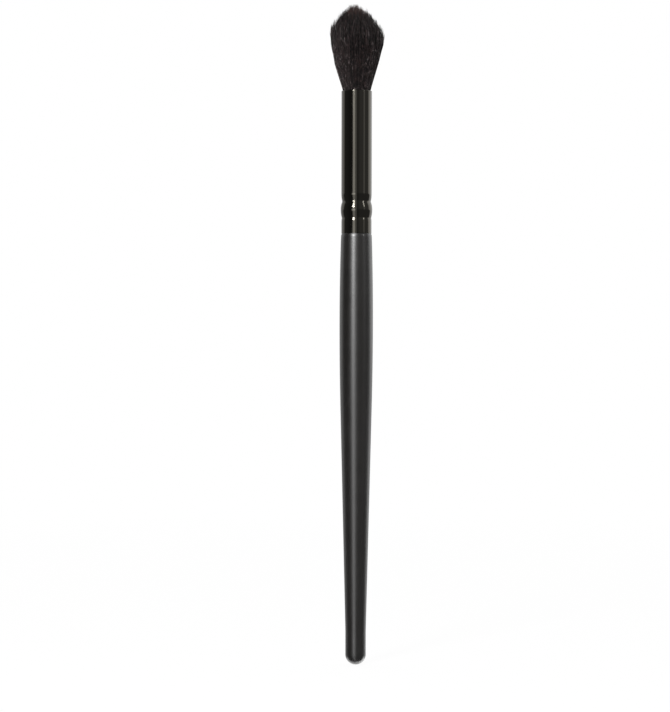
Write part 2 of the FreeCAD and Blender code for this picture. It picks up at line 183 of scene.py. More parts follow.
class FerruleLooks(bpy.types.PropertyGroup):
    """Sizes and colours of the ferrule."""

    barrel_radius: length("Barrel radius", "Radius of the straight tube", 4 * MM)
    wall: length("Wall", "Thickness of the tube", 0.3 * MM)
    skirt_inset: length("Skirt inset", "How much thinner the skirt is than the barrel", 0.035 * MM)
    skirt_top: length("Skirt top", "Height at which the skirt bends in, from the lower edge", 3.15 * MM)
    lower_crimp: length("Lower crimp", "Height of the lower crimp from the lower edge", 4.1 * MM)
    lower_depth: length("Lower crimp depth", "Depth of the lower crimp", 0.12 * MM)
    bead_height: length("Bead height", "Height of the bead from the lower edge", 6.4 * MM)
    upper_crimp: length("Upper crimp", "Height of the upper crimp from the lower edge", 8.5 * MM)
    upper_depth: length("Upper crimp depth", "Depth of the upper crimp", 0.215 * MM)
    barrel_start: length("Barrel start", "Height at which the straight barrel starts", 10.6 * MM)
    wheel_radius: length("Wheel radius", "Radius of the wheel that rolled the crimps", 1.0 * MM)
    mouth_round: length("Mouth round", "Round on both edges of the mouth", 0.12 * MM)
    edge_round: length("Edge round", "Round on the outside of the lower edge", 0.05 * MM)
    plating: colour("Plating", "Colour of the dark plating", (0.077, 0.0695, 0.060))
    gloss_roughness: share("Roughness", "How dull the plating is", 0.09)


class TuftLooks(bpy.types.PropertyGroup):
    """Sizes, counts and colours of the hair."""

    strands: number("Strands", "How many filaments the tuft has", 6300, 100)
    wisps: number("Wisps", "How many wisps the filaments gather in", 520, 20)
    locks: number("Locks", "How many locks the wisps gather in", 150, 10)
    strays: number("Strays", "How many filaments wander over the skin", 2800, 5)
    flick: number("Flick", "How many strays lie together", 5, 1)
    seed: number("Seed", "Start of the random draws", 7, 0)
    strand_radius: length("Strand radius", "Radius of one filament", 0.037 * MM)
    waist_radius: length("Waist radius", "Radius of the tied root", 3.0 * MM)
    neck_radius: length("Neck radius", "Radius of the root above its tie", 3.66 * MM)
    mouth_radius: length("Mouth radius", "Radius of the tuft in the ferrule's mouth", 3.53 * MM)
    flank_radius: length("Flank radius", "Radius of the flank's bend", 15 * MM)
    shoulder_height: length("Shoulder height", "Height of the widest place above the mouth", 14.5 * MM)
    crown_round: length("Crown round", "Radius of the bend over the shoulder", 5 * MM)
    crown_sweep: length("Crown sweep", "Radius of the long curve up to the tip", 17 * MM)
    tip_round: length("Tip round", "Radius of the rounded tip", 3 * MM)
    hair: colour("Hair", "Colour of the filaments", (0.0078, 0.0049, 0.0048))
    tip: colour("Tip", "Colour of the filaments' fine ends", (0.056, 0.026, 0.021))
    # The colour of the painted highlight specks at the middle of the hair's painted glints.
    painted_glint_speck: colour("Speck", "Colour of the few light specks", (0.24, 0.22, 0.22))


class InsideLooks(bpy.types.PropertyGroup):
    """Colours of what the ferrule hides."""

    thread: colour("Thread", "Colour of the waxed thread", (0.50, 0.44, 0.33))
    resin: colour("Resin", "Colour of the set glue", (0.42, 0.22, 0.06))


class StageLooks(bpy.types.PropertyGroup):
    """The camera's place and the light's levels."""

    camera_distance: length("Camera distance", "How far the camera stands from the brush", 660 * MM)
    camera_height: length("Camera height", "Height of the camera above the floor", 80.9 * MM)
    camera_side: length("Camera side", "How far left of the brush the camera stands", 5.55 * MM)
    camera_lens: FloatProperty(name="Lens", description="Focal length", default=127.2, unit="CAMERA")
    camera_roll: FloatProperty(
        name="Roll", description="How far the camera leans", default=math.radians(-0.124), subtype="ANGLE")
    floor_reach: length("Floor reach", "Half of the floor's side", 40.0)
    fill: share("Fill", "Level of the even light from all round", 0.12)
    side_fill: level("Side fill", "Level of the white room's light, from beside", 1.3)
    key: level("Key", "Radiance of the tall lamp on the left", 21.5)
    side: level("Side", "Radiance of the slim lamp on the right", 5.0)
    room_behind_left: level("Room behind, left", "Level of the mirrored room behind, on the left", 0.48)
    room_behind_right: level("Room behind, right", "Level of the mirrored room behind, on the right", 0.42)
    room_front: level("Room in front", "Level of the mirrored room in front", 0.043)
    room_right: level("Room right", "How much lighter the mirrored room in front is on its right", 0.135)
    room_left: level("Room left", "How much lighter the mirrored room in front is on its left", 0.08)
    key_mirror: level("Mirrored key", "Level of the tall lamp's glow in the mirrored room", 1.45)
    side_mirror: level("Mirrored side", "Level of the slim lamp's glow in the mirrored room", 0.45)


GROUPS = {
    "brush_handle": HandleLooks,
    "brush_ferrule": FerruleLooks,
    "brush_tuft": TuftLooks,
    "brush_inside": InsideLooks,
    "brush_stage": StageLooks,
}


class Wire:
    """One output of a node, which takes part in sums as a number does."""

    def __init__(self, board, socket):
        self.board = board
        self.socket = socket

    def __getitem__(self, name):
        """Another output of the same node."""
        return Wire(self.board, self.socket.node.outputs[name])

    def calculate(self, operation, *values):
        """A Math node over these values."""
        sockets = dict(enumerate(values))
        return self.board.node("Math", {"operation": operation}, sockets)

    def __add__(self, other):
        return self.calculate("ADD", self, other)

    __radd__ = __add__

    def __sub__(self, other):
        return self.calculate("SUBTRACT", self, other)

    def __rsub__(self, other):
        return self.calculate("SUBTRACT", other, self)

    def __mul__(self, other):
        return self.calculate("MULTIPLY", self, other)

    __rmul__ = __mul__

    def __truediv__(self, other):
        return self.calculate("DIVIDE", self, other)

    def __pow__(self, other):
        return self.calculate("POWER", self, other)

    def __gt__(self, other):
        return self.calculate("GREATER_THAN", self, other)


class Board:
    """A node tree while it is laid out."""

    def __init__(self, tree):
        self.tree = tree
        self.tree.nodes.clear()

    def node(self, kind, settings=None, sockets=None, output=0):
        """Adds a node, sets its settings, then its sockets, and gives one of its outputs."""
        made = self.tree.nodes.new(f"ShaderNode{kind}")
        for name, value in (settings or {}).items():
            if name == "stops":
                for element, (place, grey) in zip(made.color_ramp.elements, value):
                    element.position = place
                    element.color = (grey, grey, grey, 1)
            else:
                setattr(made, name, value)
        for name, value in (sockets or {}).items():
            if isinstance(value, Wire):
                self.tree.links.new(value.socket, made.inputs[name])
            else:
                made.inputs[name].default_value = value
        return Wire(self, made.outputs[output]) if made.outputs else None

    def ramp(self, value, stops):
        """A colour ramp between two stops, each a place and its grey."""
        return self.node("ValToRGB", {"stops": stops}, {"Fac": value}, "Color")

    def between(self, share_of_second, first, second):
        """A colour between two colours."""
        sockets = {0: share_of_second, 6: first, 7: second}
        return self.node("Mix", {"data_type": "RGBA"}, sockets, 2)

    def grain(self, place, scale, stretch=(1, 1, 1), detail=2.0, roughness=0.5):
        """Noise from 0 to 1, with about scale features to a unit, longer where stretch is small."""
        pulled = self.node("VectorMath", {"operation": "MULTIPLY"}, {0: place, 1: stretch})
        sockets = {"Vector": pulled, "Scale": scale, "Detail": detail, "Roughness": roughness}
        return self.node("TexNoise", None, sockets, "Fac")

    def bump(self, height, distance):
        """A normal for a height from 0 to 1 that stands for this many metres."""
        return self.node("Bump", None, {"Height": height, "Strength": 1.0, "Distance": distance}, "Normal")

    def clamp(self, value):
        """A value held between 0 and 1."""
        return self.node("Clamp", None, {"Value": value})

    def surface(self, sockets):
        """Closes a material with its shader."""
        shader = self.node("BsdfPrincipled", None, sockets, "BSDF")
        self.node("OutputMaterial", None, {"Surface": shader})


def opaque(rgb, times=1.0):
    """A colour for a socket, so many times as bright."""
    return (rgb[0] * times, rgb[1] * times, rgb[2] * times, 1.0)


def new_material(name):
    """An empty material and the board for its nodes."""
    material = bpy.data.materials.new(name)
    material.use_nodes = True
    return material, Board(material.node_tree)


def satin_lacquer(looks):
    """Charcoal lacquer on turned wood: satin, with a faint orange peel, and smoother where it is held."""
    held_reach = 30 * MM
    peel_depth = 0.011 * MM
    material, board = new_material("satin_lacquer")
    place = board.node("TexCoord", None, None, "Object")
    height = board.node("SeparateXYZ", None, {"Vector": place}, "Z")
    mottle = board.grain(place, 260, detail=3)
    wood = board.grain(place, 2600, stretch=(1, 1, 0.03), detail=3)
    peel = board.grain(place, 1300, detail=1)
    dust = board.grain(place, 7500, detail=1)
    held = 1 - board.clamp(((height - looks.belly_height) / held_reach) ** 2)
    tone = mottle * 0.7 + wood * 0.3
    fleck = board.ramp(board.grain(place, 3800, detail=0), [(0.70, 0), (0.78, 1)])
    base = board.between(tone, opaque(looks.lacquer, 0.86), opaque(looks.lacquer, 1.16))
    base = board.between(fleck * 0.25, base, opaque(looks.lacquer, 2.4))
    relief = peel * 0.62 + wood * 0.23 + dust * 0.15
    board.surface({
        "Base Color": base,
        "Roughness": looks.sheen_roughness + (mottle - 0.5) * 0.10 + (dust - 0.5) * 0.05 - held * 0.03,
        "IOR": 1.78,
        "Normal": board.bump(relief, peel_depth),
    })
    return material


def dark_plating(looks):
    """Dark plating on drawn aluminium: glossy, with lines up the tube, and round it in the crimps."""
    line_depth = 0.0012 * MM
    material, board = new_material("dark_plating")
    place = board.node("TexCoord", None, None, "Object")
    height = board.node("SeparateXYZ", None, {"Vector": place}, "Z")
    drawn = board.grain(place, 5200, stretch=(1, 1, 0.012), detail=3)
    smudge = board.grain(place, 210, stretch=(1, 1, 0.6), detail=4)
    rolled = board.grain(place, 9000, stretch=(0.02, 0.02, 1), detail=2)
    crimp_middle = joint_height + (looks.lower_crimp + looks.upper_crimp) / 2
    crimp_reach = looks.barrel_start - looks.upper_crimp + (looks.upper_crimp - looks.lower_crimp) / 2
    in_crimps = 1 - board.clamp(((height - crimp_middle) / crimp_reach) ** 4)
    lines = drawn * (1 - in_crimps) + rolled * in_crimps
    olive = opaque((looks.plating[0] * 0.90, looks.plating[1] * 0.98, looks.plating[2] * 0.96))
    board.surface({
        "Base Color": board.between(smudge, opaque(looks.plating), olive),
        "Metallic": 1.0,
        "Roughness": looks.gloss_roughness + (smudge - 0.5) * 0.06 + (lines - 0.5) * 0.05,
        "Normal": board.bump(lines, line_depth),
    })
    return material


def soft_hair(looks):
    """Near-black filaments, each with tones of its own, with painted glints and painted highlight specks, and
    brown at the fine ends inside.
    """
    material, board = new_material("soft_hair")
    unwrapped = board.node("UVMap", {"uv_map": MAP}, None, "UV")
    across = board.node("SeparateXYZ", None, {"Vector": unwrapped}, "X")
    along = across["Y"]
    stray = across > STRAY_SHARE
    tone = board.grain(unwrapped, 90, stretch=(1.5, 0.05, 0), detail=2, roughness=0.8)
    patches = board.grain(unwrapped, 90, stretch=(1.5, 0.55, 0), detail=1)
    # The strays' tone is pushed a shade lighter. This is painted light for the light that loose filaments
    # catch, and since most strays lie on the left it paints that flank lighter.
    contrast = board.ramp(tone * 0.45 + patches * 0.55 + stray * 0.03, [(0.48, 0), (0.58, 1)])
    base = board.between(contrast, opaque(looks.hair, 0.06), opaque(looks.hair, 2.9))
    # Painted glints: short patches of noise along the filaments, more of them on the strays, are painted many
    # times lighter than the hair, with a painted highlight speck at the middle of each.
    painted_glint = board.grain(unwrapped, 75, stretch=(1.5, 0.5, 0), detail=0) + stray * 0.045
    base = board.between(board.ramp(painted_glint, [(0.63, 0), (0.71, 1)]) * 0.7, base, opaque(looks.hair, 12))
    base = board.between(board.ramp(painted_glint, [(0.745, 0), (0.80, 1)]), base, opaque(looks.painted_glint_speck))
    fine_end = board.clamp((along - 0.80) / 0.20)
    brown = fine_end * (1 - (across > MANTLE_SHARE)) * (0.3 + tone)
    base = board.between(brown, base, opaque(looks.tip))
    board.surface({
        "Base Color": base,
        "Roughness": 0.70 - contrast * 0.42,
        "IOR": 1.40,
    })
    return material


def waxed_thread(looks):
    """Undyed thread of two plies, twisted and waxed."""
    turns_round = 110
    turns_up = 21000
    relief_depth = 0.02 * MM
    material, board = new_material("waxed_thread")
    place = board.node("TexCoord", None, None, "Object")
    split = board.node("SeparateXYZ", None, {"Vector": place}, "X")
    angle = split.calculate("ARCTAN2", split["Y"], split)
    twist = split.calculate("SINE", angle * turns_round + split["Z"] * turns_up)
    fibres = board.grain(place, 16000, stretch=(1, 1, 0.3), detail=3)
    ply = twist * 0.5 + 0.5
    tone = ply * 0.7 + fibres * 0.3
    board.surface({
        "Base Color": board.between(tone, opaque(looks.thread, 0.55), opaque(looks.thread, 1.15)),
        "Roughness": 0.46 + fibres * 0.2,
        "Normal": board.bump(ply * 0.8 + fibres * 0.2, relief_depth),
    })
    return material


def set_resin(looks):
    """Hard amber resin, cloudy in places, with small bubbles near its skin."""
    relief_depth = 0.02 * MM
    material, board = new_material("set_resin")
    place = board.node("TexCoord", None, None, "Object")
    cloud = board.grain(place, 700, detail=4)
    cells = board.node("TexVoronoi", None, {"Vector": place, "Scale": 1500.0}, "Distance")
    bubble = board.ramp(cells, [(0.10, 1), (0.22, 0)])
    base = board.between(cloud, opaque(looks.resin, 0.6), opaque(looks.resin, 1.3))
    board.surface({
        "Base Color": board.between(bubble * 0.5, base, opaque(looks.resin, 1.9)),
        "Roughness": 0.16 + cloud * 0.16,
        "Coat Weight": 0.4,
        "Coat Roughness": 0.08,
        "Normal": board.bump(cloud * 0.7 + bubble * 0.3, relief_depth),
    })
    return material


class Outline:
    """Half of a side view: points (distance from the axis, height), stroke after stroke."""

    def __init__(self, start):
        self.points = [tuple(start)]

    def line(self, end, steps=1):
        """Straight from the last point to end."""
        start = self.points[-1]
        for step in range(1, steps + 1):
            part = step / steps
            self.points.append(tuple(a + (b - a) * part for a, b in zip(start, end)))
        return self

    def arc(self, centre, end, steps):
        """The shorter arc about this centre from the last point to end."""
        start = self.points[-1]
        radius = math.dist(start, centre)
        first = math.atan2(start[1] - centre[1], start[0] - centre[0])
        last = math.atan2(end[1] - centre[1], end[0] - centre[0])
        turn = (last - first + math.pi) % math.tau - math.pi
        for step in range(1, steps):
            angle = first + turn * step / steps
            self.points.append((centre[0] + radius * math.cos(angle), centre[1] + radius * math.sin(angle)))
        self.points.append(tuple(end))
        return self


def deselect_everything():
    """Leaves edit mode and deselects every object."""
    if bpy.context.object and bpy.context.object.mode != "OBJECT":
        bpy.ops.object.mode_set(mode="OBJECT")
    bpy.ops.object.select_all(action="DESELECT")


def lathe(name, points):
    """Draws an outline vertex by vertex and spins it once round the brush's axis."""
    deselect_everything()
    bpy.ops.mesh.primitive_plane_add(size=MM)
    piece = bpy.context.object
    piece.name = piece.data.name = name
    bpy.ops.object.mode_set(mode="EDIT")
    bpy.ops.mesh.merge(type="CENTER")
    bpy.ops.transform.translate(value=(points[0][0], 0, points[0][1]))
    for here, there in zip(points, points[1:]):
        step = {"value": (there[0] - here[0], 0, there[1] - here[1])}
        bpy.ops.mesh.extrude_region_move(TRANSFORM_OT_translate=step)
    bpy.ops.mesh.select_all(action="SELECT")
    bpy.ops.mesh.spin(steps=LATHE_STEPS, angle=math.tau, center=(0, 0, 0), axis=(0, 0, 1))
    bpy.ops.mesh.select_all(action="SELECT")
    bpy.ops.mesh.remove_doubles(threshold=SAME_POINT)
    bpy.ops.mesh.normals_make_consistent(inside=False)
    bpy.ops.object.mode_set(mode="OBJECT")
    bpy.ops.object.shade_smooth_by_angle(angle=SMOOTH_BELOW)
    unwrap_turning(piece, points)
    return piece


def read_mesh(mesh):
    """The vertex at each corner of the faces, and every vertex's place."""
    corners = np.zeros(len(mesh.loops), int)
    mesh.loops.foreach_get("vertex_index", corners)
    places = np.zeros(len(mesh.vertices) * 3)
    mesh.vertices.foreach_get("co", places)
    return corners, places.reshape(-1, 3)


def unwrap_turning(piece, points):
    """Lays a turned piece out flat: round the axis across the map, and along the outline up it."""
    mesh = piece.data
    outline = np.array(points)
    run = np.concatenate([[0], np.cumsum(np.hypot(*np.diff(outline, axis=0).T))])
    corners, places = read_mesh(mesh)
    side = np.column_stack([np.hypot(places[:, 0], places[:, 1]), places[:, 2]])
    stations = nearest(side, outline)
    angle = np.arctan2(places[:, 1], places[:, 0]) / math.tau
    layer = mesh.uv_layers.new(name=MAP)
    spread = np.zeros((len(corners), 2))
    for face in mesh.polygons:
        own = slice(face.loop_start, face.loop_start + face.loop_total)
        middle = math.atan2(face.center.y, face.center.x) / math.tau
        own_angle = middle + (angle[corners[own]] - middle + 0.5) % 1 - 0.5
        on_axis = side[corners[own], 0] < ON_AXIS
        spread[own, 0] = np.where(on_axis, middle, own_angle)
        station = stations[corners[own]]
        if station.max() - station.min() > len(outline) / 2:
            station = np.where(station < len(outline) / 2, len(outline) - 1, station)
        spread[own, 1] = run[station] / run[-1]
    spread[:, 0] += 0.5
    layer.data.foreach_set("uv", (MAP_EDGE + spread * (1 - 2 * MAP_EDGE)).ravel())


def dress(piece, material, node=None):
    """Gives a piece its material and, where it stands for a packed node, its body, and hides that node."""
    piece.data.materials.clear()
    piece.data.materials.append(material)
    if node:
        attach(piece, BODY)
        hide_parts(node)


def handle_outline(handle, ferrule):
    """The handle from the lowest point of its tail to the middle of its tenon's head."""
    flush_radius = ferrule.barrel_radius - ferrule.skirt_inset
    shoulder_radius = flush_radius + handle.shoulder_step
    swell = belly_radius - shoulder_radius
    upper_sweep = ((joint_height - handle.belly_height) ** 2 + swell ** 2) / (2 * swell)
    tail_top = Vector((handle.tail_radius, handle.tail_top))
    belly = Vector((belly_radius, handle.belly_height))
    blend_centre = tail_top + Vector((handle.tail_blend, 0))
    sweep_centre = belly - Vector((handle.belly_sweep, 0))
    apart = blend_centre - sweep_centre
    lean = math.atan2(apart.y, apart.x) + math.acos((handle.tail_blend + handle.belly_sweep) / apart.length)
    square = Vector((math.cos(lean), math.sin(lean)))
    taper_foot = blend_centre - square * handle.tail_blend
    taper_head = sweep_centre + square * handle.belly_sweep
    upper_centre = belly - Vector((upper_sweep, 0))
    flush = Vector((flush_radius, joint_height - handle.joint_line))
    away = flush - upper_centre
    inner = upper_sweep - handle.shoulder_round
    along = (inner ** 2 - handle.shoulder_round ** 2 + away.length ** 2) / (2 * away.length)
    onward = away.normalized()
    round_centre = upper_centre + onward * along
    round_centre += Vector((onward.y, -onward.x)) * math.sqrt(inner ** 2 - along ** 2)
    round_foot = upper_centre + (round_centre - upper_centre) * (upper_sweep / inner)

    outline = Outline((0, 0))
    outline.arc((0, handle.tail_radius), (handle.tail_radius, handle.tail_radius), 16)
    outline.line(tail_top, 3)
    outline.arc(blend_centre, taper_foot, 4)
    outline.line(taper_head, 24)
    outline.arc(sweep_centre, belly, 14)
    outline.arc(upper_centre, round_foot, 14)
    outline.arc(round_centre, flush, 8)
    tenon_radius = ferrule.barrel_radius - ferrule.wall - handle.tenon_gap
    outline.line((flush_radius - handle.joint_depth, joint_height - handle.joint_line))
    outline.line((flush_radius - handle.joint_depth, joint_height))
    outline.line((tenon_radius, joint_height))
    lower = (ferrule.lower_crimp, ferrule.lower_depth)
    upper = (ferrule.upper_crimp, ferrule.upper_depth)
    for crimp, depth in (lower, upper):
        bottom = ferrule.barrel_radius - depth - ferrule.wall - handle.tenon_gap / 5
        centre = (bottom + handle.bite_radius, joint_height + crimp)
        half = math.sqrt(handle.bite_radius ** 2 - (centre[0] - tenon_radius) ** 2)
        outline.line((tenon_radius, centre[1] - half), 2)
        outline.arc(centre, (tenon_radius, centre[1] + half), 8)
    outline.line((tenon_radius, tenon_head - handle.tenon_chamfer), 4)
    outline.line((tenon_radius - handle.tenon_chamfer, tenon_head))
    outline.line((0, tenon_head), 3)
    return outline.points


def touching_arc(apex, wheel, wheel_radius):
    """Centre and end of the arc that is upright at its apex and runs smoothly into a crimp's arc."""
    depth = apex[0] - wheel[0] + wheel_radius
    rise = apex[1] - wheel[1]
    reach = (depth ** 2 + rise ** 2) / (2 * depth)
    centre = Vector((apex[0] - reach + wheel_radius, apex[1]))
    return centre, Vector(wheel) + (centre - Vector(wheel)) * (wheel_radius / reach)


def crimped_side(sizes, wall):
    """The ferrule's side from the skirt to the barrel, on the outside, or in the bore if wall is its wall."""
    wheel_radius = sizes.wheel_radius + wall
    skirt = (sizes.barrel_radius - sizes.skirt_inset - wall, joint_height + sizes.skirt_top)
    low = (sizes.barrel_radius - sizes.lower_depth + sizes.wheel_radius, joint_height + sizes.lower_crimp)
    bead = (bead_radius - wall, joint_height + sizes.bead_height)
    high = (sizes.barrel_radius - sizes.upper_depth + sizes.wheel_radius, joint_height + sizes.upper_crimp)
    barrel = (sizes.barrel_radius - wall, joint_height + sizes.barrel_start)
    side = Outline(skirt)
    for below, crimp, over, steps in ((skirt, low, bead, (12, 16)), (bead, high, barrel, (16, 20))):
        centre, end = touching_arc(below, crimp, wheel_radius)
        side.arc(centre, end, steps[0])
        centre, end = touching_arc(over, crimp, wheel_radius)
        side.arc(crimp, end, 14).arc(centre, over, steps[1])
    return side.points


def ferrule_outline(sizes):
    """All round the ferrule's wall: up the outside, over the mouth and down the bore."""
    barrel = sizes.barrel_radius
    skirt = barrel - sizes.skirt_inset
    edge = sizes.edge_round
    lip = sizes.mouth_round
    outline = Outline((skirt - edge, joint_height))
    outline.arc((skirt - edge, joint_height + edge), (skirt, joint_height + edge), 4)
    outline.line((skirt, joint_height + 2 * edge))
    outline.line((skirt, joint_height + sizes.skirt_top - edge), 3)
    outline.line((skirt, joint_height + sizes.skirt_top))
    outline.points += crimped_side(sizes, 0)[1:]
    outline.line((barrel, joint_height + sizes.barrel_start + edge))
    outline.line((barrel, mouth_height - 1.3 * lip), 16)
    outline.line((barrel, mouth_height - lip))
    outline.arc((barrel - lip, mouth_height - lip), (barrel - lip, mouth_height), 6)
    bore = barrel - sizes.wall
    outline.line((bore + lip, mouth_height))
    outline.arc((bore + lip, mouth_height - lip), (bore, mouth_height - lip), 6)
    inside = crimped_side(sizes, sizes.wall)[::-1]
    outline.line(inside[0], 8)
    outline.points += inside[1:]
    outline.line((skirt - sizes.wall, joint_height), 2)
    outline.line(outline.points[0])
    return outline.points


def strand_mesh(name, count, stations):
    """Many copies of one three-sided filament, with this many rings, in one mesh."""
    deselect_everything()
    bpy.ops.mesh.primitive_circle_add(vertices=3, radius=1, fill_type="NGON")
    piece = bpy.context.object
    piece.name = piece.data.name = name
    bpy.ops.object.mode_set(mode="EDIT")
    for _ in range(stations - 1):
        bpy.ops.mesh.extrude_region_move(TRANSFORM_OT_translate={"value": (0, 0, 1)})
    bpy.ops.mesh.select_all(action="SELECT")
    bpy.ops.mesh.normals_make_consistent(inside=False)
    bpy.ops.object.mode_set(mode="OBJECT")
    bpy.ops.object.shade_smooth()
    copies = piece.modifiers.new("copies", "ARRAY")
    copies.use_relative_offset = False
    copies.count = count
    bpy.ops.object.modifier_apply(modifier=copies.name)
    return piece


def lay_strands(piece, paths, radii, columns):
    """Moves each copy's rings on to its own path, and lays each copy out as a narrow strip of the map."""
    mesh = piece.data
    corners, places = read_mesh(mesh)
    own = places.reshape(len(paths), -1, 3)
    ring = np.rint(own[0, :, 2]).astype(int)
    turn = np.arctan2(own[0, :, 1], own[0, :, 0])
    side = np.rint((turn - turn.min()) * 3 / math.tau) - 1
    angle = turn[None, :] + columns[:, None] * COLUMN_TURN
    middle = paths[:, ring]
    wide = radii[:, ring]
    spread = np.stack([np.cos(angle) * wide, np.sin(angle) * wide, np.zeros_like(wide)], axis=2)
    mesh.vertices.foreach_set("co", (middle + spread).ravel())
    for layer in list(mesh.uv_layers):
        mesh.uv_layers.remove(layer)
    layer = mesh.uv_layers.new(name=MAP)
    copy, corner = np.divmod(corners, own.shape[1])
    free = paths[:, :, 2] - paths[:, :1, 2]
    along = (free / free[:, -1:])[copy, ring[corner]]
    across = columns[copy] + side[corner] * STRIP / 2
    along = MAP_EDGE + along * (1 - 3 * MAP_EDGE) + (side[corner] == 0) * STRIP
    layer.data.foreach_set("uv", np.column_stack([across, along]).ravel())
    mesh.update()


def smooth_step(value, low, high):
    """Rises smoothly from 0 at low to 1 at high."""
    part = np.clip((value - low) / (high - low), 0, 1)
    return part * part * (3 - 2 * part)


def round_side(centre, radius, height):
    """How far from the axis a round reaches at this height."""
    return centre.x + np.sqrt(np.maximum(radius ** 2 - (height - centre.y) ** 2, 0))


def crown_radius(looks, height):
    """The tuft's outer radius at this height above the mouth, from its shoulder to its tip."""
    round_centre = Vector((tuft_widest - looks.crown_round, looks.shoulder_height))
    tip_centre = Vector((0, tuft_tip - mouth_height - looks.tip_round))
    near = looks.crown_sweep - looks.crown_round
    far = looks.crown_sweep - looks.tip_round
    step = tip_centre - round_centre
    along = (near ** 2 - far ** 2 + step.length ** 2) / (2 * step.length)
    onward = step.normalized()
    sweep_centre = round_centre + onward * along
    sweep_centre += Vector((-onward.y, onward.x)) * math.sqrt(near ** 2 - along ** 2)
    crown_end = sweep_centre + (round_centre - sweep_centre) * (looks.crown_sweep / near)
    tip_start = sweep_centre + (tip_centre - sweep_centre) * (looks.crown_sweep / far)
    low = round_side(round_centre, looks.crown_round, height)
    middle = round_side(sweep_centre, looks.crown_sweep, height)
    high = round_side(tip_centre, looks.tip_round, height)
    return np.where(height < crown_end.y, low, np.where(height < tip_start.y, middle, high))


def flank_path(looks, height):
    """The outermost filament's distance from the axis at this height above the mouth."""
    centre = Vector((tuft_widest - looks.flank_radius, looks.shoulder_height))
    away = Vector((looks.mouth_radius, 0)) - centre
    lean = math.atan2(away.y, away.x) + math.acos(looks.flank_radius / away.length)
    head = centre + Vector((math.cos(lean), math.sin(lean))) * looks.flank_radius
    straight = looks.mouth_radius + (head.x - looks.mouth_radius) * height / head.y
    return np.where(height < head.y, straight, round_side(centre, looks.flank_radius, height))


def sunflower(count):
    """Evenly spread places in a round: distances from 0 to 1, growing, and angles."""
    order = np.arange(count) + 0.5
    return np.sqrt(order / count), order * math.pi * (3 - math.sqrt(5))


def nearest(places, spots):
    """For each place, which spot lies nearest."""
    return np.array([np.argmin(((spots - place) ** 2).sum(1)) for place in places])


def polar(reach, angle):
    """Points across the tuft, from their distances and angles."""
    return np.column_stack([reach * np.cos(angle), reach * np.sin(angle)])


def draw_columns(random, count, third):
    """A random column of the hair's map for each of count bundles, in this third of the map."""
    return (np.floor(random.random(count) * THIRD) + 0.5 + THIRD * third) / COLUMNS


